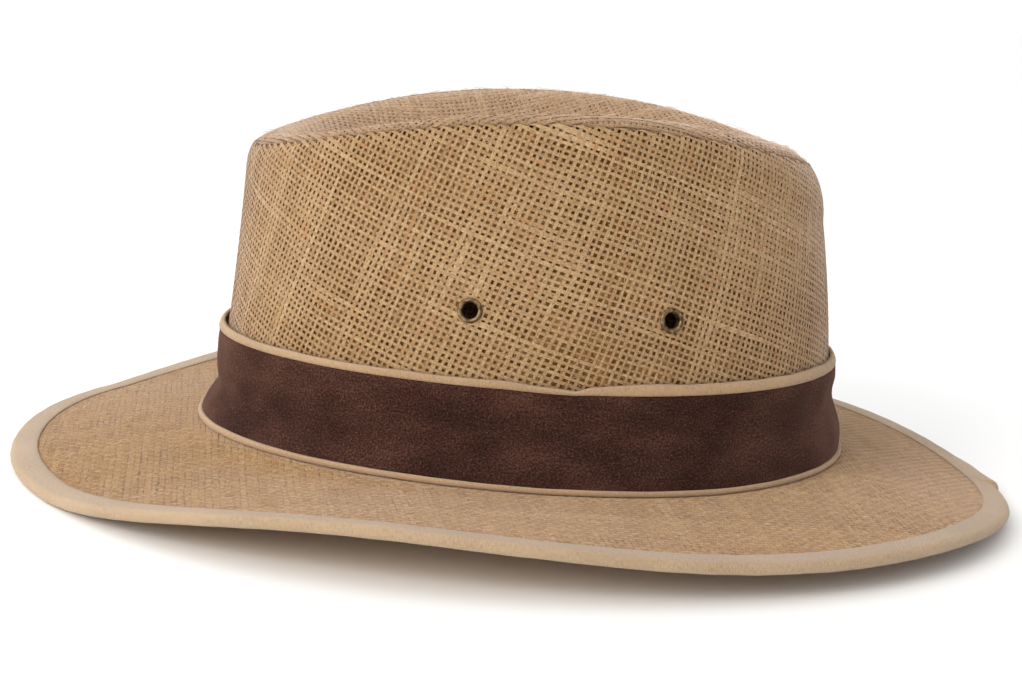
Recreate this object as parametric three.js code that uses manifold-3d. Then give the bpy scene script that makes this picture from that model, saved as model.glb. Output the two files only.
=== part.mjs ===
// A jute fedora: a burlap crown made of a side wall and a dented tip, a burlap brim with a bound,
// wired edge, a suede hat band between two folded cloth trims, and four brass ventilation eyelets.
//
// Millimetres. +Z is up, the front of the hat faces -Y and the wearer's left is +X. The origin is on
// the surface that the hat stands on, under its middle. Heights below are counted from the band's
// lower edge, and angles run round the hat from the rear, through the wearer's left, to the front.
import * as THREE from 'three';
import { mergeVertices } from 'three/addons/utils/BufferGeometryUtils.js';
import Module from 'manifold-3d';

// ---------------------------------------------------------------- driving dimensions
const segments = 56;            // steps round every ring, a multiple of four
const clearance = 0.3;          // gap between neighbouring pieces
const clothWall = 1.5;          // stiffened burlap of the crown
const bandHeight = 16.25;       // the band's lower edge above the surface that the hat stands on

// Plan of the crown's outside at the band's lower edge: an oval's half sizes, and its middle in Y.
const crownBase = { halfLength: 102.4, halfWidth: 85.2, middle: 2.1, power: 2.08 };

// The crown's outside by direction: how far the wall leans in by the start of the shoulder, how far
// it bows out of straight at mid height, the size of the rounded shoulder, the height of the crest
// on top, and how far under the crest the seam between side and tip lies.
const crownProfile = {
  front: { lean: 6.4, bow: -0.7, shoulderIn: 5.5, shoulderUp: 10.5, crest: 89.8, seamDrop: 2.4 },
  side: { lean: 17.5, bow: 3.0, shoulderIn: 5.0, shoulderUp: 7.0, crest: 107.2, seamDrop: 3.4 },
  rear: { lean: 7.6, bow: 1.5, shoulderIn: 17.0, shoulderUp: 24.0, crest: 97.4, seamDrop: 5.0 },
};
const dentDepth = 20;           // the tip's dent below the saddle that spans its crest
const dentFloor = 0.42;         // share of the way out to the crest where the dent starts to climb

// The brim: its middle layer where it meets the crown, its thickness, how much it bends down towards
// its edge (1 is straight), and the line of the wire in its edge.
const brimAtCrown = -3.3;
const brimThickness = 1.8;
const brimCurl = 1.25;
const sideFoot = brimAtCrown + brimThickness / 2 + clearance;
const brimEdge = { halfLength: 164.2, halfWidth: 143.8, middle: 0, power: 2.09 };
// The wire's height is a sum of cosines round the hat. It goes no lower than its height over the
// surface that the hat stands on, where the brim is pressed flat.
const brimWave = [
  { order: 0, height: -9.05 },
  { order: 1, height: 0.6 },
  { order: 2, height: -6.1 },
  { order: 3, height: 1.4 },
  { order: 4, height: 0.1 },
  { order: 5, height: -1.95 },
  { order: 6, height: 0.3 },
];
const wireLowest = -14.8;
const pressedFlat = 0.35;       // the tape is pressed onto the surface where it is this near to it

// Cloth tape folded over the wire.
const tapeReach = 6.9;          // from the wire inwards
const tapeFold = 1.9;           // half the thickness of the folded edge
const tapePly = 0.7;

// The suede band's outside beyond the crown's base oval, up its height: it flares to its foot at the
// front, and puffs out at the rear.
const bandSection = [
  { height: 0, front: 4.6, rear: 4.4 },
  { height: 4, front: 3.2, rear: 5.0 },
  { height: 9, front: 2.3, rear: 3.4 },
  { height: 18, front: 1.8, rear: 3.0 },
  { height: 24, front: 0.8, rear: 1.8 },
  { height: 28, front: 0.0, rear: 0.4 },
];
const bandWall = 2.6;
const topTrimHeight = 2.5;
const bottomTrimHeight = 1.5;
const bottomTrimOut = 1.1;      // the lower trim stands this far out of the band's edge
const bottomTrimDepth = 3.0;

// Eyelets through the crown's side: height, middle of a pair in Y, and distance to either side of it.
const eyeletPlace = { height: 49, middle: 7, spread: 30 };
const eyeletShape = { bore: 4.8, barrel: 5.6, flange: 7.6, rise: 0.9, facets: 12 };
const facetSag = 0.2;           // the most that the crown's facets lie inside its true curve

// ---------------------------------------------------------------- materials
const cloth = (color) => new THREE.MeshStandardMaterial({ color, roughness: 0.95, metalness: 0 });
const brass = () => new THREE.MeshStandardMaterial({ color: 0x7d6a45, roughness: 0.4, metalness: 1 });
const juteColor = 0xc7a271;
const brimColor = 0xc9a57a;
const tapeColor = 0xd9bd97;
const trimColor = 0xd6b07f;
const suedeColor = 0x49302a;

// ---------------------------------------------------------------- plan and profile
const turn = 2 * Math.PI;
const signedPower = (value, power) => Math.sign(value) * Math.abs(value) ** power;

// A point of an oval in plan, moved out along the oval's normal.
function ovalPoint(oval, angle, out = 0) {
  const across = signedPower(Math.sin(angle), 2 / oval.power);
  const along = signedPower(Math.cos(angle), 2 / oval.power);
  const normal = new THREE.Vector2(
    signedPower(across, oval.power - 1) / oval.halfWidth,
    signedPower(along, oval.power - 1) / oval.halfLength,
  ).normalize();
  return new THREE.Vector2(oval.halfWidth * across, oval.middle + oval.halfLength * along)
    .addScaledVector(normal, out);
}

// A column of the crown's table at an angle: a smooth blend that meets the front, side and rear.
// Inside the crest, reach shrinks the blend to a saddle that is smooth across the middle.
function crownValue(column, angle, reach = 1) {
  const { front, side, rear } = crownProfile;
  const ends = (front[column] + rear[column]) / 2;
  const tilt = (rear[column] - front[column]) / 2;
  const saddle = (ends - side[column]) / 2;
  return (ends + side[column]) / 2 + tilt * reach * Math.cos(angle)
    + saddle * reach ** 2 * Math.cos(2 * angle);
}

// How far the crown's outside lies inside its base oval at a height: a bowed wall, then a shoulder
// that is a quarter of an ellipse.
function crownInset(angle, height) {
  const shoulderUp = crownValue('shoulderUp', angle);
  const shoulderStart = crownValue('crest', angle) - shoulderUp;
  const climb = Math.min(1, height / shoulderStart);
  const wall = crownValue('lean', angle) * climb - crownValue('bow', angle) * 4 * climb * (1 - climb);
  const round = THREE.MathUtils.clamp((height - shoulderStart) / shoulderUp, 0, 1);
  return wall + crownValue('shoulderIn', angle) * (1 - Math.sqrt(1 - round ** 2));
}

// Where the seam lies on the shoulder, as an angle round its quarter ellipse. above moves it up.
const seamTurn = (angle, above) =>
  Math.asin(1 - (crownValue('seamDrop', angle) - above) / crownValue('shoulderUp', angle));

const place = (plan, height) => new THREE.Vector3(plan.x, plan.y, bandHeight + height);
const crownPoint = (angle, height, out = 0) =>
  place(ovalPoint(crownBase, angle, out - crownInset(angle, height)), height);

// The tip's surface, from the seam (share 0) over the crest (share 1) to its middle (share 2).
function tipPoint(angle, share) {
  const crest = crownValue('crest', angle);
  if (share <= 1) {
    const arc = THREE.MathUtils.lerp(seamTurn(angle, clearance), Math.PI / 2, share);
    return crownPoint(angle, crest - crownValue('shoulderUp', angle) * (1 - Math.sin(arc)));
  }
  const reach = 2 - share;
  const middle = (crownPoint(0, crownProfile.rear.crest).y
    + crownPoint(turn / 2, crownProfile.front.crest).y) / 2;
  const edge = crownPoint(angle, crest);
  const dent = dentDepth * (1 - THREE.MathUtils.smoothstep(reach, dentFloor, 1));
  return place(
    new THREE.Vector2(edge.x * reach, middle + (edge.y - middle) * reach),
    crownValue('crest', angle, reach) - dent,
  );
}

const wireHeight = (angle) => Math.max(wireLowest, brimWave.reduce(
  (sum, wave) => sum + wave.height * Math.cos(wave.order * angle), 0));

// The brim's middle layer, from the head opening (share 0) to the wire (share 1).
function brimPoint(angle, share) {
  const plan = ovalPoint(crownBase, angle, -clothWall).lerp(ovalPoint(brimEdge, angle), share);
  return place(plan, THREE.MathUtils.lerp(brimAtCrown, wireHeight(angle), Math.max(share, 0) ** brimCurl));
}

// The outward normal of a surface that is given by angle and share, by small steps both ways.
function surfaceNormal(surface, angle, share) {
  const step = 1e-3;
  const round = surface(angle + step, share).sub(surface(angle - step, share));
  const up = surface(angle, share + step).sub(surface(angle, share - step));
  return up.cross(round).normalize();
}

// ---------------------------------------------------------------- solids
function geometryFrom(vertices, faces) {
  const geometry = new THREE.BufferGeometry();
  const coordinates = vertices.flatMap((vertex) => vertex.toArray());
  geometry.setAttribute('position', new THREE.Float32BufferAttribute(coordinates, 3));
  geometry.setIndex(faces);
  return geometry;
}

const ringAngles = Array.from({ length: segments }, (_, i) => turn * i / segments);

// A closed ring. sectionAt gives the closed outline of its cut at an angle, listed so that the
// outside of the hat is passed upwards.
function ringGeometry(sectionAt) {
  const sections = ringAngles.map(sectionAt);
  const count = sections[0].length;
  const faces = [];
  for (let i = 0; i < segments; i += 1) {
    const here = i * count;
    const next = ((i + 1) % segments) * count;
    for (let j = 0; j < count; j += 1) {
      const k = (j + 1) % count;
      faces.push(here + j, here + k, next + k, here + j, next + k, next + j);
    }
  }
  return geometryFrom(sections.flat(), faces);
}

// A wall of even thickness under a surface, between the given shares of it.
function wallSection(surface, angle, shares, thickness) {
  const outside = shares.map((share) => surface(angle, share));
  const inside = shares.map((share, i) =>
    outside[i].clone().addScaledVector(surfaceNormal(surface, angle, share), -thickness));
  return [...outside, ...inside.reverse()];
}

function makeManifold(wasm, geometry) {
  const bare = geometry.clone();
  bare.deleteAttribute('normal');
  bare.deleteAttribute('uv');
  const merged = mergeVertices(bare);
  return new wasm.Manifold(new wasm.Mesh({
    numProp: 3,
    vertProperties: merged.attributes.position.array,
    triVerts: new Uint32Array(merged.index.array),
  }));
}

function manifoldGeometry(manifold) {
  const mesh = manifold.getMesh();
  const geometry = new THREE.BufferGeometry();
  geometry.setAttribute('position', new THREE.Float32BufferAttribute(mesh.vertProperties, 3));
  geometry.setIndex(Array.from(mesh.triVerts));
  return geometry;
}

const group = new THREE.Group();
function addPiece(name, geometry, material) {
  const mesh = new THREE.Mesh(geometry, material);
  mesh.name = name;
  group.add(mesh);
  return mesh;
}

// ---------------------------------------------------------------- eyelets
// The angle at which the crown's wearer's left side passes a given Y, by halving.
function angleAtY(height, y) {
  let [rear, front] = [0, turn / 2];
  for (let i = 0; i < 40; i += 1) {
    const middle = (rear + front) / 2;
    if (crownPoint(middle, height).y > y) rear = middle;
    else front = middle;
  }
  return (rear + front) / 2;
}

const frontAngle = angleAtY(eyeletPlace.height, eyeletPlace.middle - eyeletPlace.spread);
const rearAngle = angleAtY(eyeletPlace.height, eyeletPlace.middle + eyeletPlace.spread);
const eyeletRows = [
  { name: 'eyelet_left_front', angle: frontAngle },
  { name: 'eyelet_left_rear', angle: rearAngle },
  { name: 'eyelet_right_front', angle: turn - frontAngle },
  { name: 'eyelet_right_rear', angle: turn - rearAngle },
];

// Turns a thing made along +Y so that +Y points straight out of the crown at an eyelet.
function seatOnCrown(mesh, angle) {
  mesh.position.copy(crownPoint(angle, eyeletPlace.height));
  mesh.quaternion.setFromUnitVectors(
    new THREE.Vector3(0, 1, 0),
    surfaceNormal(crownPoint, angle, eyeletPlace.height),
  );
}

// A set eyelet: a rounded flange outside, a barrel through the cloth, and a rolled flange inside.
function eyeletGeometry() {
  const { rise, facets } = eyeletShape;
  const [bore, barrel, flange] = [eyeletShape.bore / 2, eyeletShape.barrel / 2, eyeletShape.flange / 2];
  const inside = -clothWall - facetSag - clearance;
  const outline = [
    [bore, inside - rise + 0.2], [barrel, inside - rise], [flange, inside - rise + 0.3],
    [flange, inside], [barrel, inside], [barrel, clearance],
    [flange, clearance], [flange, clearance + rise / 3], [barrel + 0.2, clearance + rise],
    [bore, clearance + rise * 0.7],
  ].map(([radius, height]) => new THREE.Vector2(radius, height));
  return new THREE.LatheGeometry([...outline, outline[0]], facets);
}

// ---------------------------------------------------------------- crown
// The side's surface, from its foot (share 0) to the start of the shoulder (share 1) and round that
// to the seam (share 2).
function sidePoint(angle, share) {
  const shoulderUp = crownValue('shoulderUp', angle);
  const bend = crownValue('crest', angle) - shoulderUp;
  if (share <= 1) return crownPoint(angle, THREE.MathUtils.lerp(sideFoot, bend, share));
  return crownPoint(angle, bend + shoulderUp * Math.sin(seamTurn(angle, 0) * (share - 1)));
}

function crownSide(wasm) {
  const shares = [0, 0.25, 0.5, 0.75, 1, 1.35, 1.7, 2];
  let wall = makeManifold(wasm, ringGeometry((angle) => wallSection(sidePoint, angle, shares, clothWall)));
  for (const { angle } of eyeletRows) {
    const radius = eyeletShape.barrel / 2 + clearance;
    const cutter = new THREE.Mesh(new THREE.CylinderGeometry(radius, radius, clothWall * 6, 20));
    seatOnCrown(cutter, angle);
    cutter.updateMatrixWorld();
    wall = wall.subtract(makeManifold(wasm, cutter.geometry.applyMatrix4(cutter.matrixWorld)));
  }
  return manifoldGeometry(wall);
}

// The tip is a dish: rings of points down to one point in the middle, on both faces.
function crownTip() {
  const shares = [0, 0.4, 0.75, 1, 1.12, 1.24, 1.38, 1.54, 1.76];
  const count = shares.length;
  const vertices = ringAngles.flatMap((angle) => wallSection(tipPoint, angle, shares, clothWall));
  const middle = tipPoint(0, 2);
  const topPole = vertices.push(middle) - 1;
  const underPole = vertices.push(middle.clone().setZ(middle.z - clothWall)) - 1;
  const faces = [];
  for (let i = 0; i < segments; i += 1) {
    const here = i * 2 * count;
    const next = ((i + 1) % segments) * 2 * count;
    for (let j = 0; j < 2 * count; j += 1) {
      const k = (j + 1) % (2 * count);
      if (j === count - 1) {
        faces.push(here + j, topPole, next + j, here + k, next + k, underPole);
      } else {
        faces.push(here + j, here + k, next + k, here + j, next + k, next + j);
      }
    }
  }
  return geometryFrom(vertices, faces);
}

// ---------------------------------------------------------------- brim and its binding
function brimSection(angle) {
  const reach = ovalPoint(brimEdge, angle).distanceTo(ovalPoint(crownBase, angle, -clothWall));
  const clothEnd = 1 - (tapePly + clearance) / reach;
  const shares = [0, 0.16, 0.4, 0.66, clothEnd - tapeReach / reach, clothEnd];
  const middle = shares.map((share) => brimPoint(angle, share));
  // Shares run outwards here, so this surface's normal points down.
  const down = shares.map((share) => surfaceNormal(brimPoint, angle, share));
  const face = (side) => middle.map((vertex, i) =>
    vertex.clone().addScaledVector(down[i], side * brimThickness / 2));
  return [...face(1), ...face(-1).reverse()];
}

// The tape's cut in the plane that stands across the brim's edge: out is counted from the wire.
function bindingSection(angle) {
  const slot = tapeFold - tapePly;
  const fold = [-90, -45, 0, 45, 90].map((degrees) => THREE.MathUtils.degToRad(degrees))
    .map((bend) => [tapeFold * Math.cos(bend), tapeFold * Math.sin(bend)]);
  const outline = [
    [-tapeReach, -slot], [-tapeReach, -tapeFold], [-tapeFold, -tapeFold], ...fold,
    [-tapeReach, tapeFold], [-tapeReach, slot], [-tapePly, slot], [-tapePly, -slot],
  ];
  const wire = brimPoint(angle, 1);
  const outward = wire.clone().sub(brimPoint(angle, 0.97)).normalize();
  const sideways = new THREE.Vector3(-outward.y, outward.x, 0).normalize();
  const upward = outward.clone().cross(sideways);
  return outline.map(([out, up]) => {
    const vertex = wire.clone().addScaledVector(outward, out).addScaledVector(upward, up);
    if (vertex.z < pressedFlat) vertex.z = 0;
    return vertex;
  });
}

// ---------------------------------------------------------------- band and its trims
// How far the band stands out at an angle, in one row of its table.
const bandOut = (row, angle) => row.front + (row.rear - row.front) * (1 + Math.cos(angle)) / 2;

function bandRingSection(angle) {
  const outside = bandSection.map((row) => ({ height: row.height, out: bandOut(row, angle) }));
  const inside = outside.map(({ height, out }) => ({
    height,
    out: Math.max(out - bandWall, clearance - crownInset(angle, height)),
  })).reverse();
  return [...outside, ...inside].map(({ height, out }) =>
    place(ovalPoint(crownBase, angle, out), height));
}

function topTrimSection(angle) {
  const edge = bandOut(bandSection.at(-1), angle);
  const foot = bandSection.at(-1).height + clearance;
  const backAt = (height) => clearance - crownInset(angle, height);
  const rows = [
    { up: 0, out: edge },
    { up: 0.45, out: edge + 0.3 },
    { up: 0.85, out: edge - 0.5 },
    { up: 1, out: edge - 1.5 },
  ].map(({ up, out }) => ({ height: foot + up * topTrimHeight, out }));
  const back = [rows.at(-1), rows[0]].map(({ height }) => ({ height, out: backAt(height) }));
  return [...rows, ...back].map(({ height, out }) => place(ovalPoint(crownBase, angle, out), height));
}

function bottomTrimSection(angle) {
  const edge = bandOut(bandSection[0], angle);
  const head = -clearance;
  const rows = [
    { up: 0, out: edge + bottomTrimOut - 0.5 },
    { up: 0.5, out: edge + bottomTrimOut },
    { up: 1, out: edge + bottomTrimOut - 0.5 },
    { up: 1, out: edge + bottomTrimOut - bottomTrimDepth },
    { up: 0, out: edge + bottomTrimOut - bottomTrimDepth },
  ];
  return rows.map(({ up, out }) =>
    place(ovalPoint(crownBase, angle, out), head - (1 - up) * bottomTrimHeight));
}

// ---------------------------------------------------------------- the hat
const wasm = await Module();
wasm.setup();

addPiece('crown_side', crownSide(wasm), cloth(juteColor));
addPiece('crown_tip', crownTip(), cloth(juteColor));
addPiece('brim', ringGeometry(brimSection), cloth(brimColor));
addPiece('brim_binding', ringGeometry(bindingSection), cloth(tapeColor));
addPiece('hat_band', ringGeometry(bandRingSection), cloth(suedeColor));
addPiece('band_trim_top', ringGeometry(topTrimSection), cloth(trimColor));
addPiece('band_trim_bottom', ringGeometry(bottomTrimSection), cloth(trimColor));
for (const { name, angle } of eyeletRows) {
  seatOnCrown(addPiece(name, eyeletGeometry(), brass()), angle);
}

export default group;
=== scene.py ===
"""The looks of a jute fedora around its CAD frame.

The crown and the brim are woven yarn by yarn over a darker ground, the brim is bound with tape, a
suede band lies between two folded trims, and four old brass eyelets air the crown. On the crown's
side the ground's dark colour is painted shade: the dim inside of the hat seen through the holes.

Lengths are in millimetres until a mesh is made. +Z is up, the front of the hat faces -Y and the
wearer's left is +X. Angles run round the hat from the rear, through the wearer's left, to the
front. Heights are counted from the band's lower edge.
"""
import math

import bpy
import numpy as np
from mathutils import Matrix, Vector


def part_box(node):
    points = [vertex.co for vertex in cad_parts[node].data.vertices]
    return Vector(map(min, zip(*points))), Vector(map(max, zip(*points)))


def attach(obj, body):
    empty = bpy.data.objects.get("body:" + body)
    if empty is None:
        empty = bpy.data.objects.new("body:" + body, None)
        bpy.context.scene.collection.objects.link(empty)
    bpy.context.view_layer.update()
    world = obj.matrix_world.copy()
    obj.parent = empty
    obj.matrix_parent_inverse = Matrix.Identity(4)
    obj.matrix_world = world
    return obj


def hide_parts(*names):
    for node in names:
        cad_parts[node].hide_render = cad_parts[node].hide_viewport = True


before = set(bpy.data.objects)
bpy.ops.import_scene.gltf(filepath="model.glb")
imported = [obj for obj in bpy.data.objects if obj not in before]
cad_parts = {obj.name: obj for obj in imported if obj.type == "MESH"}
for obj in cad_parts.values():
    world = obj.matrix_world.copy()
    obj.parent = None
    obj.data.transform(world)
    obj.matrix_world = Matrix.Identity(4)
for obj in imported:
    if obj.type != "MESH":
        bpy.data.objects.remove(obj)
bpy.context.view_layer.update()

MM = 0.001
TURN = 2 * np.pi


def node_box(name):
    """The lowest and highest corner of a CAD node, in millimetres."""
    return [np.array(corner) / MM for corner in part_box(name)]


def put(name, data):
    """A new object of the scene."""
    item = bpy.data.objects.new(name, data)
    bpy.context.scene.collection.objects.link(item)
    return item


# ---------------------------------------------------------------- camera
def set_camera():
    """Looks at the hat's wearer's left from a little behind and above, with the picture rolled.

    The way back to the camera is (cos e cos a, -cos e sin a, sin e) for elevation e and angle a.
    """
    aim = Vector((0, -3.4, 42.05))
    angle, elevation, roll = (math.radians(value) for value in (5.1, 10.9, 4.1))
    distance = 618
    back = Vector((
        math.cos(elevation) * math.cos(angle),
        -math.cos(elevation) * math.sin(angle),
        math.sin(elevation),
    ))
    level = Vector((math.sin(angle), math.cos(angle), 0))
    rise = back.cross(level)
    right = level * math.cos(roll) + rise * math.sin(roll)
    up = rise * math.cos(roll) - level * math.sin(roll)
    data = bpy.data.cameras.new("camera")
    data.sensor_width = 36
    data.lens = 64.4
    camera = put("camera", data)
    turned = Matrix((right, up, back)).transposed().to_4x4()
    camera.matrix_world = Matrix.Translation((aim + back * distance) * MM) @ turned
    bpy.context.scene.camera = camera


set_camera()

# ---------------------------------------------------------------- sizes of the hat
BAND_FOOT = node_box("hat_band")[0][2]      # above the surface that the hat stands on

# The crown's outside at the band's lower edge, as an oval's half sizes and its middle in Y.
CROWN_BASE = {"half_length": 102.4, "half_width": 85.2, "middle": 2.1, "power": 2.08}
# The crown's outside by direction: how far it leans in by the start of the shoulder, how far it
# bows, the size of the rounded shoulder, the crest's height, and the seam's drop under the crest.
CROWN_PROFILE = {
    "front": {"lean": 6.4, "bow": -0.7, "round_in": 5.5, "round_up": 10.5, "crest": 89.8, "drop": 2.4},
    "side": {"lean": 17.5, "bow": 3.0, "round_in": 5.0, "round_up": 7.0, "crest": 107.2, "drop": 3.4},
    "rear": {"lean": 7.6, "bow": 1.5, "round_in": 17.0, "round_up": 24.0, "crest": 97.4, "drop": 5.0},
}
CLOTH_WALL = 1.5
DENT_DEPTH = 20.0
DENT_FLOOR = 0.42
CROWN_FOOT = -2.1

BRIM_AT_CROWN = -3.3
BRIM_THICKNESS = 1.8
BRIM_CURL = 1.25
TRIM_SHARE = 0.13               # how far out on the brim the band's lower trim stands
TAPE_REACH = 6.9
TAPE_FOLD = 1.9
TAPE_PLY = 0.7
TAPE_PRESS = 0.75               # of the tape's inner ends over and under the brim's middle
TAPE_END = ((0.5, 0.06), (0.12, 0), (0, 0.12), (-0.02, 0.3))    # their rounding, in and up from there
LAP_TURN = math.radians(4.2)    # the tape's last end, which lies over its first at the rear
LAP_LENGTH = math.radians(13)
LAP_SLANT = math.radians(1.2)   # how much earlier the end is cut at the tape's inner edge
LAP_EDGE = math.radians(0.12)
LAP_RISE = 0.5
LAP_FLARE = 0.9
BRIM_EDGE = {
    "half_length": node_box("brim_binding")[1][1] - TAPE_FOLD,
    "half_width": node_box("brim_binding")[1][0] - TAPE_FOLD,
    "middle": 0.0,
    "power": 2.09,
}
# The wire's height as a sum of cosines round the hat: the cosine's order and its height.
BRIM_WAVE = {0: -9.05, 1: 0.6, 2: -6.1, 3: 1.4, 4: 0.1, 5: -1.95, 6: 0.3}
WIRE_LOWEST = -14.8

# The suede's outside beyond the base oval up its height, at the front and at the rear.
BAND_HEIGHTS = (0, 4, 7, 9, 13, 16, 20, 24, 28)
BAND_OUT_FRONT = (5.3, 3.4, 0.6, 0.1, 0.5, 0.75, 0.75, 0.6, 0.0)
BAND_OUT_REAR = (4.9, 5.1, 4.6, 3.8, 2.0, 0.9, 0.8, 1.5, 1.2)
BAND_TOP = BAND_HEIGHTS[-1]
BAND_WALL = 2.0
GAP = 0.3
# Both trims round the hat: at degrees from the top one's joint, towards the front, the heights of
# its foot and top, where one end tapers away under the other, and of the lower one's foot and top.
TRIM_JOINT = {
    "at": 86.5,
    "from_joint": (-180, -86, -60, -25, -10.5, -2.5, 0, 3, 10.5, 28, 50, 70, 94, 180),
    "foot": (27.3, 28.3, 28.0, 27.4, 27.25, 27.2, 26.95, 27.05, 27.6, 27.75, 27.6, 27.1, 26.5, 27.3),
    "top": (30.0, 31.2, 31.0, 30.6, 30.35, 29.4, 28.1, 28.65, 29.85, 29.85, 29.8, 29.4, 29.0, 30.0),
    "lower": (-1.8, -1.2, -1.7, -2.5, -2.3, -2.1, -2.05, -2.0, -1.7, -1.2, -1.3, -1.9, -3.1, -1.8),
    "lower_top": (0.0, 0.6, 0.1, -0.8, -0.6, -0.4, -0.3, -0.25, 0.05, 0.6, 0.65, 0.3, -0.8, 0.0),
}
TRIM_OVERLAP = 0.5
LOWER_TRIM_CLEAR = 0.12         # over the brim

YARN_PITCH = 1.948              # from yarn to yarn of the burlap
SIDE_ROUND = 563.0              # round the crown at mid height
SIDE_STEEP = 274                # yarns that a level line round the crown crosses, of the steep set
SIDE_SHALLOW = 92               # and of the shallow set
SIDE_TILT = math.atan2(SIDE_SHALLOW, SIDE_STEEP)


# ---------------------------------------------------------------- the hat's surfaces
def blend(start, end, share):
    """Straight from start, at share 0, to end, at share 1."""
    return start + (end - start) * share


def ease(share):
    """From 0 to 1 with a level start and end."""
    return share**2 * (3 - 2 * share)


def bell(distance, width):
    """1 at no distance, falling away both ways."""
    return np.exp(-((distance / width) ** 2))


def even_turns(count):
    """Angles spread evenly round the hat, as a column."""
    return TURN * np.arange(count)[:, None] / count


def signed_power(value, power):
    """The value's size raised to a power, with the value's sign kept."""
    return np.sign(value) * np.abs(value) ** power


def oval(base, angle, out=0.0):
    """A superellipse in plan, moved out along its own normal. Returns x and y."""
    across = signed_power(np.sin(angle), 2 / base["power"])
    along = signed_power(np.cos(angle), 2 / base["power"])
    normal_x = signed_power(across, base["power"] - 1) / base["half_width"]
    normal_y = signed_power(along, base["power"] - 1) / base["half_length"]
    size = np.hypot(normal_x, normal_y)
    x = base["half_width"] * across + out * normal_x / size
    y = base["middle"] + base["half_length"] * along + out * normal_y / size
    return x, y


def crown_value(column, angle, reach=1.0):
    """A column of the crown's table at an angle: a constant, a cosine and a double cosine that meet
    the front, side and rear. Inside the crest, reach shrinks them to a smooth saddle."""
    front, side, rear = (CROWN_PROFILE[way][column] for way in ("front", "side", "rear"))
    ends = (front + rear) / 2
    return (
        (ends + side) / 2
        + (rear - front) / 2 * reach * np.cos(angle)
        + (ends - side) / 2 * reach**2 * np.cos(2 * angle)
    )


def crown_inset(angle, height):
    """How far the crown lies inside its base oval: a leaning, bowed wall and a quarter ellipse."""
    round_up = crown_value("round_up", angle)
    bend = crown_value("crest", angle) - round_up
    climb = np.minimum(1, height / bend)
    wall = crown_value("lean", angle) * climb - crown_value("bow", angle) * 4 * climb * (1 - climb)
    turned = np.clip((height - bend) / round_up, 0, 1)
    return wall + crown_value("round_in", angle) * (1 - np.sqrt(1 - turned**2))


def place(x, y, height):
    """Points from plan places and heights over the band's foot."""
    return np.stack(np.broadcast_arrays(x, y, BAND_FOOT + height), axis=-1)


def crown_point(angle, height, out=0.0):
    """A point of the crown's outside, or so far out of it in plan."""
    x, y = oval(CROWN_BASE, angle, out - crown_inset(angle, height))
    return place(x, y, height)


def seam_turn(angle, above):
    """Where the seam lies on the shoulder's quarter ellipse, as an angle. above moves it up."""
    return np.arcsin(1 - (crown_value("drop", angle) - above) / crown_value("round_up", angle))


def wire_height(angle):
    """The sum of cosines of BRIM_WAVE, cut off where the brim is pressed flat."""
    wave = sum(height * np.cos(order * angle) for order, height in BRIM_WAVE.items())
    return np.maximum(WIRE_LOWEST, wave)


def trim_edge(angle, edge):
    """The height of an edge of the trims round the hat, straight between the rows of TRIM_JOINT,
    which start and end half a turn from the joint."""
    away = np.mod(np.degrees(angle) - TRIM_JOINT["at"] + 180, 360) - 180
    return np.interp(away, TRIM_JOINT["from_joint"], TRIM_JOINT[edge])


def brim_height(angle, share):
    """The height of the brim's middle layer, bent down by a power of the share, with a low swell
    near the crown that brings it up under the lower trim: a square times a bell curve."""
    bent, under = (
        blend(BRIM_AT_CROWN, wire_height(angle), np.maximum(part, 0) ** BRIM_CURL)
        for part in (share, TRIM_SHARE)
    )
    level = trim_edge(angle, "lower") - LOWER_TRIM_CLEAR - BRIM_THICKNESS / 2
    near = np.square(share / TRIM_SHARE)
    return bent + (level - under) * near * np.exp(1 - near)


def brim_point(angle, share):
    """The brim's middle layer from the head opening, at share 0, to the wire, at share 1: straight
    in plan."""
    inner = oval(CROWN_BASE, angle, -CLOTH_WALL)
    outer = oval(BRIM_EDGE, angle)
    height = brim_height(angle, share)
    return place(blend(inner[0], outer[0], share), blend(inner[1], outer[1], share), height)


def unit(vectors):
    """Vectors at length 1."""
    return vectors / np.linalg.norm(vectors, axis=-1, keepdims=True)


def round_hat(points):
    """The way round the hat at each point of a closed row: from the one before to the one after."""
    return np.roll(points, -1, axis=0) - np.roll(points, 1, axis=0)


# ---------------------------------------------------------------- cloths as flat sheets
# Each cloth is a function from its flat sheet, u across and v along in millimetres, to points of
# the hat. Crown side and tip are read from tables of rows round the hat and distances along them.
TABLE_TURNS = 720
TABLE_STEP = 0.5
CLOTH_STEP = 0.4                # either way from a place, over which a cloth's slope is taken
SEAM_TUCK = 0.25                # either cloth turns in this far from the seam
TUCK_DEPTH = 1.3
YARN_TUCK = TUCK_DEPTH + 1.2    # the yarns reach this far past the seam
GROUND_TUCK = 1.0


def tucked(path, outward):
    """A table of paths with a tuck after each: it rounds over its end and dives along -outward."""
    ahead = unit(path[:, -1] - path[:, -2])[:, None]
    depth = np.arange(0.25, TUCK_DEPTH + 1.5, 0.25)[None, :, None]
    rounding = 0.45 * (1 - np.exp(-depth / 0.45))
    dive = path[:, -1:] + ahead * rounding - outward[:, None] * (depth - rounding)
    return np.concatenate([path, dive], axis=1)


def by_distance(path):
    """Each row's points moved along it so that they lie every TABLE_STEP of its length."""
    steps = np.linalg.norm(np.diff(path, axis=1), axis=-1)
    run = np.concatenate([np.zeros((len(path), 1)), np.cumsum(steps, axis=1)], axis=1)
    wanted = np.arange(0, run.max(), TABLE_STEP)
    rows = [
        np.stack([np.interp(wanted, along, row[:, axis]) for axis in range(3)], axis=-1)
        for along, row in zip(run, path)
    ]
    return np.array(rows), run


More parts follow.
